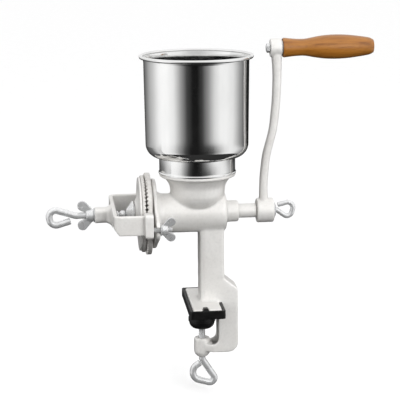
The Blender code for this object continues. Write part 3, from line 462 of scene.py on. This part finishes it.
def sweep(name, path, radius, look, thread, pitch=M8_PITCH):
    """A round bar along a path in the XZ plane, threaded from one length along it to another."""
    chamfer, segments = 0.0007, 32
    depth = 0.45 * pitch
    lengths = [0.0]
    for point, next_point in zip(path, path[1:]):
        lengths.append(lengths[-1] + (next_point - point).length)
    total = lengths[-1]
    stations = [0.0, 0.00005, 0.0002, 0.00045, chamfer]
    while stations[-1] < total - chamfer:
        threaded = thread[0] <= stations[-1] < thread[1]
        stations.append(stations[-1] + (pitch / 8 if threaded else 0.0009))
    stations = [s for s in stations if s < total - chamfer]
    stations += [total - s for s in (chamfer, 0.00045, 0.0002, 0.00005, 0.0)]
    side = Vector((0, 1, 0))
    rings = []
    i = 0
    for s in stations:
        while i < len(path) - 2 and s > lengths[i + 1]:
            i += 1
        step = path[i + 1] - path[i]
        t = (s - lengths[i]) / step.length
        heading = step.normalized()
        # The heading turns evenly between the middles of neighbouring steps.
        if t < 0.5 and i > 0:
            heading = (path[i] - path[i - 1]).normalized().lerp(heading, 0.5 + t).normalized()
        elif t >= 0.5 and i < len(path) - 2:
            heading = heading.lerp((path[i + 2] - path[i + 1]).normalized(), t - 0.5).normalized()
        across = heading.cross(side)
        end = min(s, total - s)
        edge = 0.0
        if end < chamfer:
            edge = chamfer - math.sqrt(max(0.0, chamfer**2 - (chamfer - end) ** 2))
        fade = max(0.0, min(1.0, (s - thread[0]) / pitch, (thread[1] - s) / pitch))
        ring = []
        for k in range(segments):
            a = 2 * math.pi * k / segments
            phase = (s / pitch - a / (2 * math.pi)) % 1.0
            groove = depth * fade * max(0.0, abs(phase - 0.5) * 2.5 - 0.25) if fade else 0.0
            r = radius - edge - min(groove, depth)
            ring.append(path[i] + step * t + (side * math.cos(a) + across * math.sin(a)) * r)
        rings.append(ring)
    return loft(name, rings, look)


def in_xz(points):
    return [Vector((x, 0, z)) for x, z in points]


# ---- Body casting, yoke and crank arm ----


def make_castings():
    show(recast("mill_body", CASTING, 0.00112, 14, lumps=0.0005), "mill", "mill_body")
    show(recast("yoke", CASTING, 0.0007, 14, lumps=0.0004), "mill", "yoke")
    show(recast("auger", CASTING, 0.0006, 8), "rotor", "auger")


def make_crank_arm():
    """Hub, swan-necked arm and top boss in one casting, with the arm as one smooth curve."""
    hub_left, boss_right = low("crank_arm", X), high("crank_arm", X)
    hub_right = hub_left + 0.0204
    boss_left = boss_right - 0.0134
    hub_radius = SHAFT_Z - low("crank_arm", Z)
    boss_radius = high("crank_arm", Z) - GRIP_Z
    # (place and height of the centreline, half thickness, half width)
    stations = [(0.0764, 0.006, 0.0052, 0.0085), (0.0757, 0.0245, 0.0047, 0.0078),
                (0.0766, 0.0450, 0.0046, 0.0075), (0.0790, 0.0660, 0.0046, 0.0074),
                (0.0829, 0.0820, 0.0046, 0.0074), (0.0869, 0.0975, 0.0046, 0.0074),
                (0.0892, 0.1150, 0.0047, 0.0074), (0.0909, 0.1335, 0.0047, 0.0075),
                (0.0919, 0.1600, 0.0048, 0.0078), (0.0917, 0.1770, 0.0052, 0.0084),
                (0.0909, 0.1930, 0.0060, 0.0092)]
    rings = []
    for x, rise, half_x, half_y in smooth_through(stations, 0.0015):
        ring = rounded_rectangle((x, 0), half_x, half_y, 0.0042)
        rings.append([(u, v, SHAFT_Z + rise) for u, v in ring])
    hub = softened([(0, hub_right), (hub_radius, hub_right), (hub_radius, hub_left),
                    (0, hub_left)], 0.0012, False)
    boss = softened([(0, boss_right), (boss_radius, boss_right), (boss_radius, boss_left),
                     (0, boss_left)], 0.0012, False)
    blocks = [loft("arm", rings), lathe("hub", hub),
              lathe("boss", boss, centre=(0, 0, GRIP_Z))]
    bolt_hole = [(0, 0.12), (M8_HOLE, 0.12), (M8_HOLE, 0.07), (0, 0.07)]
    shaft_hole = [(0, 0.0853), (0.0054, 0.0853), (0.0054, 0.05), (0, 0.05)]
    screw_hole = [(0, 0.12), (M6_HOLE, 0.12), (M6_HOLE, 0.08), (0, 0.08)]
    holes = [lathe("bolt_hole", bolt_hole, centre=(0, 0, GRIP_Z), segments=48),
             lathe("shaft_hole", shaft_hole, segments=48),
             lathe("screw_hole", screw_hole, segments=48)]
    arm = melt(joined("crank_arm_cast", blocks), CASTING, 0.0006, 14, 0.0003, holes)
    show(arm, "rotor", "crank_arm")


# ---- Burrs and thrust parts ----


def burr_plate(node, body, hole, root_depth, teeth, seat=None):
    """A grinding plate with radial grooves that run out through its rim.

    A seat is the radius and the depth of a step in the back, outside which it is thinner.
    """
    face_left = node == "fixed_burr"
    left, right = low(node, X), high(node, X)
    face, back = (left, right) if face_left else (right, left)
    inward = 1 if face_left else -1
    radius = high(node, Y)
    radii = [hole + 0.0005, hole + 0.008, hole + 0.013, hole + 0.020, radius - 0.0012, radius]
    bm = bmesh.new()
    rows = []
    per_tooth = 8
    for step in range(teeth * per_tooth):
        a = 2 * math.pi * step / (teeth * per_tooth)
        wave = abs(step % per_tooth / per_tooth - 0.5) * 2
        groove = root_depth * max(0.0, min(1.0, wave * 1.6 - 0.45))
        row = [(hole, back), (hole, face + inward * root_depth)]
        for r in radii:
            blend = max(0.0, min(1.0, (r - hole - 0.008) / 0.005))
            depth = root_depth * (1 - blend) + groove * blend
            if r == radius:
                depth = max(depth, 0.0007)
            row.append((r, face + inward * depth))
        step_radius, step_depth = seat or (radius, 0.0)
        rim_back = back - inward * step_depth
        row += [(radius, rim_back - inward * 0.0006), (radius - 0.0006, rim_back)]
        if seat:
            row += [(step_radius, rim_back), (step_radius, back)]
        rows.append([bm.verts.new((x, r * math.cos(a), SHAFT_Z + r * math.sin(a)))
                     for r, x in row])
    for row, next_row in zip(rows, rows[1:] + rows[:1]):
        for i in range(len(row)):
            j = (i + 1) % len(row)
            bm.faces.new((row[i], row[j], next_row[j], next_row[i]))
    show(from_bmesh(node + "_plate", bm, MACHINED, 30), body, node)


def make_burrs():
    burr_plate("fixed_burr", "mill", 0.0195, 0.0020, 60, (0.040, 0.0014))
    burr_plate("rotating_burr", "rotor", CARRIER_BORE, 0.0020, 60)
    left, right = low("burr_carrier", X), high("burr_carrier", X)
    radius = high("burr_carrier", Y)
    disc_left = right - 0.0025
    outline = [(CARRIER_BORE, right), (radius, right), (radius, disc_left), (0.0385, disc_left),
               (0.0375, disc_left - 0.0004), (0.0290, disc_left - 0.0002),
               (0.0215, disc_left - 0.0014), (0.0175, left + 0.0010), (0.0160, left),
               (CARRIER_BORE, left)]
    show(lathe("burr_carrier_disc", softened(outline, 0.0005), CASTING, ring=True), "rotor",
         "burr_carrier")


def make_thrust_parts():
    """The cone on the shaft's end and the bearing ball that sits in its cup."""
    left, right = low("thrust_cone", X), high("thrust_cone", X)
    radius = high("thrust_cone", Y)
    ball_radius = high("thrust_ball", Y)
    ball_x = middle("thrust_ball", X)
    cup = ball_radius + 0.0003
    cup_edge = math.sqrt(cup**2 - (left - ball_x) ** 2)
    outline = [(0.0, right - 0.0042), (0.0089, right - 0.0042), (0.0089, right), (0.0125, right),
               (0.0125, right - 0.0016), (radius, right - 0.0018), (radius, right - 0.0030),
               (0.0110, right - 0.0064), (0.0068, left + 0.0006), (0.0060, left),
               (cup_edge, left)]
    outline = softened(outline, 0.0004, False)
    for step in range(1, 9):
        a = math.asin(cup_edge / cup) * (1 - step / 8)
        outline.append(Vector((cup * math.sin(a), ball_x + cup * math.cos(a))))
    show(lathe("thrust_cone_turned", outline, ZINC), "rotor", "thrust_cone")
    ball = []
    for step in range(33):
        a = math.pi * step / 32
        ball.append((ball_radius * math.sin(a), ball_x + ball_radius * math.cos(a)))
    show(lathe("thrust_ball_round", ball, ZINC, segments=64), "ball", "thrust_ball")


# ---- Screws, studs, washers and wing nuts ----


def make_washers():
    for node, body, bore in (("yoke_washer_near", "yoke_washer_near", 0.0033),
                             ("yoke_washer_far", "yoke_washer_far", 0.0033),
                             ("adjusting_washer", "adjusting_washer", 0.0043),
                             ("grip_washer", "rotor", M8_HOLE)):
        left, right = low(node, X), high(node, X)
        radius = (high(node, Y) - low(node, Y)) / 2
        outline = softened([(bore, right), (radius, right), (radius, left), (bore, left)], 0.0003)
        centre = (0, middle(node, Y), middle(node, Z))
        show(lathe(node + "_round", outline, ZINC, centre=centre, ring=True), body, node)
    left, right = low("crank_washer", X), high("crank_washer", X)
    radius = high("crank_washer", Y)
    outline = softened([(M6_HOLE, right), (0.0062, right), (radius, left + 0.0009),
                        (radius, left), (M6_HOLE, left)], 0.0003)
    show(lathe("crank_washer_cone", outline, ZINC, ring=True), "crank_washer", "crank_washer")


def wing_nut(node, body, towards, turn, bore, size):
    """A forged wing nut. Its wings sweep away from its seat, and size scales it."""
    seat = low(node, X) if towards > 0 else high(node, X)
    hub = softened([(0, 0.0085), (0.0051, 0.0085), (0.0060, 0.0074), (0.0078, 0.0), (0, 0)],
                   0.0006, False)
    blocks = [lathe("hub", [point * size for point in hub], axis=Z_AXIS, centre=(0, 0, 0))]
    for sign in (-1, 1):
        root, tip = Vector((sign * 0.0045, 0.0030)), Vector((sign * 0.0118, 0.0128))
        run = (tip - root).normalized()
        side = Vector((-run.y, run.x))
        outline = [root - side * 0.0034]
        for step in range(25):
            a = math.radians(-105 + 210 * step / 24)
            outline.append(tip + (run * math.cos(a) + side * math.sin(a)) * 0.0060)
        outline.append(root + side * 0.0034)
        rings = [[(u * size, w * size, v * size) for u, v in outline] for w in (-0.0017, 0.0017)]
        blocks.append(loft("wing", rings))
    bore_outline = [(0, 0.02), (bore, 0.02), (bore, -0.01), (0, -0.01)]
    hole = lathe("bore", bore_outline, axis=Z_AXIS, centre=(0, 0, 0), segments=48)
    nut = melt(joined(node + "_forged", blocks), ZINC, 0.00036, 7, 0.0, [hole])
    stud = node.replace("wing_nut", "stud")
    centre = (seat, 0, SHAFT_Z)
    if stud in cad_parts:
        centre = (seat, middle(stud, Y), STUD_Z)
    nut.data.transform(along((towards, 0, 0), centre) @ Matrix.Rotation(turn, 4, "Z"))
    show(nut, body, node)


def make_wing_nuts():
    wing_nut("yoke_wing_nut_near", "yoke_nut_near", 1, math.radians(15), 0.0032, 0.86)
    wing_nut("yoke_wing_nut_far", "yoke_nut_far", 1, math.radians(125), 0.0032, 0.86)
    wing_nut("adjusting_wing_nut", "adjusting_nut", -1, 0.0, M8_HOLE, 1.0)


def make_rods():
    """The studs, and the three screws whose ends are bent into eyes."""
    for side in ("near", "far"):
        node = f"yoke_stud_{side}"
        start, end = low(node, X), high(node, X)
        stud = sweep(node + "_threaded", in_xz([(start, STUD_Z), (end, STUD_Z)]), M6_RADIUS,
                     ZINC, (0.0, end - start), M6_PITCH)
        stud.data.transform(Matrix.Translation((0, middle(node, Y), 0)))
        show(stud, "mill", node)
    tip = high("adjusting_screw", X)
    path = fillet([(tip, SHAFT_Z), (-0.150, SHAFT_Z), (-0.1838, SHAFT_Z + 0.0106),
                   (-0.1795, SHAFT_Z - 0.0130), (-0.1566, SHAFT_Z - 0.0062)],
                  [0, 0.020, 0.0078, 0.0080, 0], closed=False)
    show(sweep("adjusting_screw_bent", in_xz(path), M8_RADIUS, ZINC, (0.001, 0.049)),
         "adjusting_screw", "adjusting_screw")
    path = fillet([(low("crank_screw", X), SHAFT_Z), (0.0917, SHAFT_Z), (0.1085, SHAFT_Z - 0.0125),
                   (0.1140, SHAFT_Z + 0.0112), (0.0932, SHAFT_Z + 0.0059)],
                  [0, 0.004, 0.0062, 0.0066, 0], closed=False)
    show(sweep("crank_screw_bent", in_xz(path), 0.00295, ZINC, (0.0, 0.026), M6_PITCH),
         "crank_screw", "crank_screw")
    path = fillet([(0, high("clamp_screw", Z)), (0, -0.0665), (0.0221, -0.1006),
                   (-0.0130, -0.0905), (-0.0105, -0.0765), (-0.0027, -0.0710)],
                  [0, 0.006, 0.0056, 0.0100, 0.0085, 0], closed=False)
    show(sweep("clamp_screw_bent", in_xz(path), M8_RADIUS, ZINC, (0.009, 0.049)),
         "clamp_screw", "clamp_screw")


# ---- Grip ----


def make_grip():
    """The wooden grip, its spindle bolt with a slotted head, and the nut behind the boss."""
    centre = (0, 0, GRIP_Z)
    left, right = low("grip", X), high("grip", X)
    # (radius, distance from the inner end)
    swell = [(0.0112, 0.0007), (0.0116, 0.0015), (0.0111, 0.0060), (0.0102, 0.0150),
             (0.0099, 0.0230), (0.0104, 0.0290), (0.0121, 0.0380), (0.0138, 0.0500),
             (0.0144, 0.0640), (0.0138, 0.0780), (0.0124, 0.0900), (0.0110, 0.0995),
             (0.0100, 0.1045), (0.0086, 0.1072)]
    outer = [(r, left + place) for r, place in smooth_through(swell, 0.0015)]
    bottom, mouth, bore = right - 0.007, 0.0062, M8_HOLE
    outline = [(0.0109, left), *outer, (0.0078, right), (mouth, right), (mouth, bottom),
               (bore, bottom), (bore, left)]
    show(lathe("grip_turned", outline, WOOD, centre=centre, ring=True, segments=112), "grip",
         "grip")
    bolt_left, bolt_right = low("grip_bolt", X), high("grip_bolt", X)
    head_left = bolt_right - 0.0034
    head = [(0, bolt_right), (0.0024, bolt_right - 0.0002), (0.0044, bolt_right - 0.0010),
            (0.0056, bolt_right - 0.0022), (0.0056, head_left), (0.0039, head_left),
            (0.0039, bolt_left + 0.0004), (0.0035, bolt_left), (0, bolt_left)]
    bolt = lathe("grip_bolt_turned", head, ZINC, centre=centre, segments=64)
    slot_outline = rounded_rectangle((0, GRIP_Z), 0.0006, 0.008, 0.0002)
    slot = loft("slot", [[(x, y, z) for y, z in slot_outline]
                         for x in (bolt_right - 0.0012, bolt_right + 0.001)])
    cut = bolt.modifiers.new("slot", "BOOLEAN")
    cut.object = slot
    show(bake(bolt), "rotor", "grip_bolt")
    discard([slot])
    nut_left, nut_right = low("grip_nut", X), high("grip_nut", X)
    corner = high("grip_nut", Z) - GRIP_Z
    blank = [(bore, nut_right), (0.0062, nut_right), (0.0062, nut_left), (bore, nut_left)]
    nut = lathe("grip_nut_hex", blank, ZINC, centre=centre, ring=True, segments=48)
    flats = lathe("flats", [(0, 0.07), (corner, 0.07), (corner, 0.09), (0, 0.09)], centre=centre,
                  segments=6)
    chamfer = [(0, nut_right), (0.0050, nut_right), (0.0061, nut_right - 0.0007),
               (0.0061, nut_left + 0.0007), (0.0050, nut_left), (0, nut_left)]
    dome = lathe("dome", chamfer, centre=centre, segments=64)
    for shape in (flats, dome):
        cut = nut.modifiers.new("shape", "BOOLEAN")
        cut.operation = "INTERSECT"
        cut.object = shape
    show(bake(nut, 20), "rotor", "grip_nut")
    discard([flats, dome])


# ---- Hopper ----


def make_hopper():
    """The spun cup with its rolled rim, and the collar that slips over the throat."""
    centre = (HOPPER_X, 0, 0)
    sheet, bead = 0.001, 0.0022
    rim_radius = high("hopper_cup", Y) - bead
    bottom, rim_z = low("hopper_cup", Z), high("hopper_cup", Z) - bead
    side, foot, corner, hole = 0.0624, 0.0612, 0.0155, 0.040
    flare_z = rim_z - 0.0082

    def skin(inset):
        points = []
        for step in range(9):
            rise = 1 - step / 8
            points.append((side + (rim_radius - bead - side) * rise**2 - inset,
                           flare_z + (rim_z - flare_z) * rise))
        for step in range(1, 6):
            fall = step / 6
            points.append((side + (foot - side) * fall - inset,
                           flare_z + (bottom + corner - flare_z) * fall))
        for step in range(17):
            a = math.radians(90 * step / 16)
            points.append((foot - corner + (corner - inset) * math.cos(a),
                           bottom + corner - (corner - inset) * math.sin(a)))
        return [*points, (hole, bottom + inset)]

    roll = []
    for step in range(21):
        a = math.radians(220 - 290 * step / 20)
        roll.append((rim_radius + bead * math.cos(a), rim_z + bead * math.sin(a)))
    outline = roll + skin(0.0)[1:] + skin(sheet)[:0:-1]
    show(lathe("hopper_cup_spun", outline, STAINLESS, Z_AXIS, centre, True, 192), "hopper",
         "hopper_cup")
    radius = high("hopper_collar", Y) - 0.0009
    low_z, high_z = low("hopper_collar", Z), high("hopper_collar", Z)
    inner = radius - sheet
    # Two points close together on the straight side keep its shading flat down to the lip.
    collar = [(inner, high_z), (radius, high_z), (radius, low_z + 0.0036),
              (radius, low_z + 0.0026), (radius + 0.0003, low_z + 0.0016),
              (radius + 0.0009, low_z + 0.0010), (radius + 0.0009, low_z), (inner, low_z)]
    show(lathe("hopper_collar_rolled", collar, STAINLESS, Z_AXIS, centre, True, 192), "hopper",
         "hopper_collar")


# ---- Clamp ----


def make_clamp():
    show(recast("jaw_pad", RUBBER, 0.0006, 4), "mill", "jaw_pad")
    top, bottom = high("clamp_pad", Z), low("clamp_pad", Z)
    radius = high("clamp_pad", Y)
    neck, hollow, disc_radius = 0.0084, 0.0071, 0.0113
    disc_top, disc_bottom = high("clamp_disc", Z) + 0.0003, high("clamp_disc", Z) - 0.0028
    cap = [(0, top), (radius - 0.0016, top), (radius - 0.0006, top - 0.0004),
           (radius, top - 0.0016), (radius, top - 0.0056), (radius - 0.0008, top - 0.0060)]
    dome = bottom - top + 0.0060
    for step in range(1, 13):
        a = math.radians(90 * step / 12)
        cap.append((neck + (radius - 0.0008 - neck) * math.cos(a), top - 0.0060
                    + dome * math.sin(a)))
    cap += [(hollow, bottom), (hollow, disc_bottom), (disc_radius, disc_bottom),
            (disc_radius, disc_top), (0, disc_top)]
    show(lathe("clamp_pad_moulded", cap, RUBBER, Z_AXIS, (0, 0, 0)), "clamp_foot", "clamp_pad")


# ---- Studio ----


def make_camera():
    """A long lens, a little to the left of the front and 12 degrees above the mill."""
    target = Vector((-0.001, 0, 0.1331))
    azimuth, elevation, roll = math.radians(-6), math.radians(12), math.radians(-0.5)
    distance = 1.7556
    back = Vector((math.sin(azimuth) * math.cos(elevation),
                   -math.cos(azimuth) * math.cos(elevation), math.sin(elevation)))
    data = bpy.data.cameras.new("camera")
    data.lens = 131.7
    data.sensor_width = 36
    camera = bpy.data.objects.new("camera", data)
    bpy.context.scene.collection.objects.link(camera)
    camera.rotation_mode = "QUATERNION"
    camera.location = target + back * distance
    camera.rotation_quaternion = (-back).to_track_quat("-Z", "Y") @ Quaternion(Z_AXIS, roll)
    bpy.context.scene.camera = camera


def softbox(name, place, size, power):
    data = bpy.data.lights.new(name, "AREA")
    data.shape = "SQUARE"
    data.size = size
    data.energy = power
    light = bpy.data.objects.new(name, data)
    bpy.context.scene.collection.objects.link(light)
    light.location = place
    light.rotation_mode = "QUATERNION"
    light.rotation_quaternion = (Vector(SHAFT) - Vector(place)).to_track_quat("-Z", "Y")
    light.visible_camera = False
    light.visible_glossy = False


def height_step(tree, height, start, end):
    """0 below a height and 1 above it, with a soft edge between."""
    return remap(tree, height, 0.0, 1.0, start, end)


def blend(tree, factor, first, second):
    node = tree.nodes.new("ShaderNodeMix")
    node.data_type = "RGBA"
    tree.links.new(factor, node.inputs["Factor"])
    tree.links.new(first, node.inputs["A"])
    tree.links.new(second, node.inputs["B"])
    return node.outputs["Result"]


def make_surround():
    """A ring of white and black card round the mill, seen only in what is polished.

    It reaches below the mill's foot, as the upright sheet mirrors what lies lower than itself.
    """
    radius, height, below = 1.15, 1.8, 0.5
    bm = bmesh.new()
    bmesh.ops.create_cone(bm, cap_ends=False, segments=96, radius1=radius, radius2=radius,
                          depth=height)
    ring = from_bmesh("card_ring", bm)
    ring.location.z = CAD_BOX[0].z + height / 2 - below
    material = bpy.data.materials.new("card_ring")
    material.use_nodes = True
    tree = material.node_tree
    tree.nodes.clear()
    where = add(tree, "TexCoord")
    turn = tree.nodes.new("ShaderNodeTexGradient")
    turn.gradient_type = "RADIAL"
    tree.links.new(where.outputs["Object"], turn.inputs["Vector"])
    parts = tree.nodes.new("ShaderNodeSeparateXYZ")
    tree.links.new(where.outputs["Object"], parts.inputs["Vector"])
    # (degrees round from the camera's side, brightness)
    middle_cards = [(-155, 0.09), (-134, 0.27), (-107, 0.60), (-88, 0.95), (-66, 1.0),
                    (-50, 0.84), (-34, 0.34), (-21, 0.06), (-8, 0.007), (2, 0.007), (12, 0.05),
                    (25, 0.29), (39, 0.71), (52, 0.92), (66, 0.93), (85, 0.79), (104, 0.39),
                    (129, 0.06), (147, 0.01), (190, 0.02)]
    low_cards = [(-155, 0.05), (-120, 0.17), (-99, 0.60), (-82, 0.95), (-66, 0.90), (-52, 0.70),
                 (-39, 0.30), (-26, 0.06), (-14, 0.012), (0, 0.010), (11, 0.018), (23, 0.036),
                 (36, 0.11), (49, 0.40), (63, 0.74), (78, 0.86), (94, 0.82), (114, 0.45),
                 (142, 0.08), (190, 0.03)]
    high_cards = [(-155, 0.85), (-66, 1.0), (-34, 0.75), (-8, 0.55), (12, 0.60), (39, 0.85),
                  (66, 0.95), (129, 0.85), (190, 0.8)]
    facing = 0.2333
    colours = []
    for cards in (low_cards, middle_cards, high_cards):
        stops = sorted(((facing + degrees / 360) % 1.0, level) for degrees, level in cards)
        colours.append(ramp(tree, turn.outputs["Fac"], stops))
    foot = below - height / 2
    above_low = height_step(tree, parts.outputs["Z"], foot + 0.066, foot + 0.078)
    above_middle = height_step(tree, parts.outputs["Z"], foot + 0.30, foot + 0.42)
    colour = blend(tree, above_low, colours[0], colours[1])
    colour = blend(tree, above_middle, colour, colours[2])
    glow = add(tree, "Emission", Strength=1.13)
    tree.links.new(colour, glow.inputs["Color"])
    output = tree.nodes.new("ShaderNodeOutputMaterial")
    tree.links.new(glow.outputs["Emission"], output.inputs["Surface"])
    ring.data.materials.append(material)
    ring.visible_camera = False
    ring.visible_diffuse = False
    ring.visible_shadow = False


def make_world():
    """White all round and above, and dark from below, as over a table edge."""
    world = bpy.data.worlds.new("studio")
    world.use_nodes = True
    tree = world.node_tree
    where = add(tree, "TexCoord")
    parts = tree.nodes.new("ShaderNodeSeparateXYZ")
    tree.links.new(where.outputs["Generated"], parts.inputs["Vector"])
    rise = remap(tree, parts.outputs["Z"], 0.0, 1.0, -1.0, 1.0)
    sky = ramp(tree, rise, [(0.0, 0.03), (0.45, 0.04), (0.495, 0.5), (0.4999, 1.0), (1.0, 1.0)])
    background = tree.nodes["Background"]
    tree.links.new(sky, background.inputs["Color"])
    background.inputs["Strength"].default_value = 1.06
    bpy.context.scene.world = world


def make_studio():
    material, tree, shader = new_material("floor", (0.93, 0.93, 0.92), 0.0, 0.85)
    where = place_on_object(tree)
    tree.links.new(ramp(tree, noise(tree, where, 30), [(0.3, 0.92), (0.7, 0.94)]),
                   shader.inputs["Base Color"])
    bm = bmesh.new()
    bmesh.ops.create_grid(bm, x_segments=1, y_segments=1, size=14)
    floor = from_bmesh("floor", bm, material)
    # The clamp screw's eye comes 10 mm lower than at rest when the clamp opens.
    eye_room = 0.012
    floor.location.z = CAD_BOX[0].z - eye_room
    # The mill is shot as if on a clear sheet: the floor shows, but lights nothing from below.
    floor.visible_diffuse = False
    floor.visible_glossy = False
    make_surround()
    make_world()
    softbox("key", (0.62, -1.7, 0.60), 1.0, 23)
    softbox("fill", (-1.3, -1.2, 1.0), 0.9, 3)
    bpy.context.scene.view_settings.view_transform = "Standard"


# Hidden pieces that keep their CAD mesh.
HIDDEN = ("fixed_burr_screw_1", "fixed_burr_screw_2", "rotating_burr_screw_1",
          "rotating_burr_screw_2", "drive_pin", "clamp_disc")

for node in HIDDEN:
    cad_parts[node].data.materials.clear()
    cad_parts[node].data.materials.append(ZINC)
make_castings()
make_crank_arm()
make_burrs()
make_thrust_parts()
make_washers()
make_wing_nuts()
make_rods()
make_grip()
make_hopper()
make_clamp()
make_camera()
make_studio()
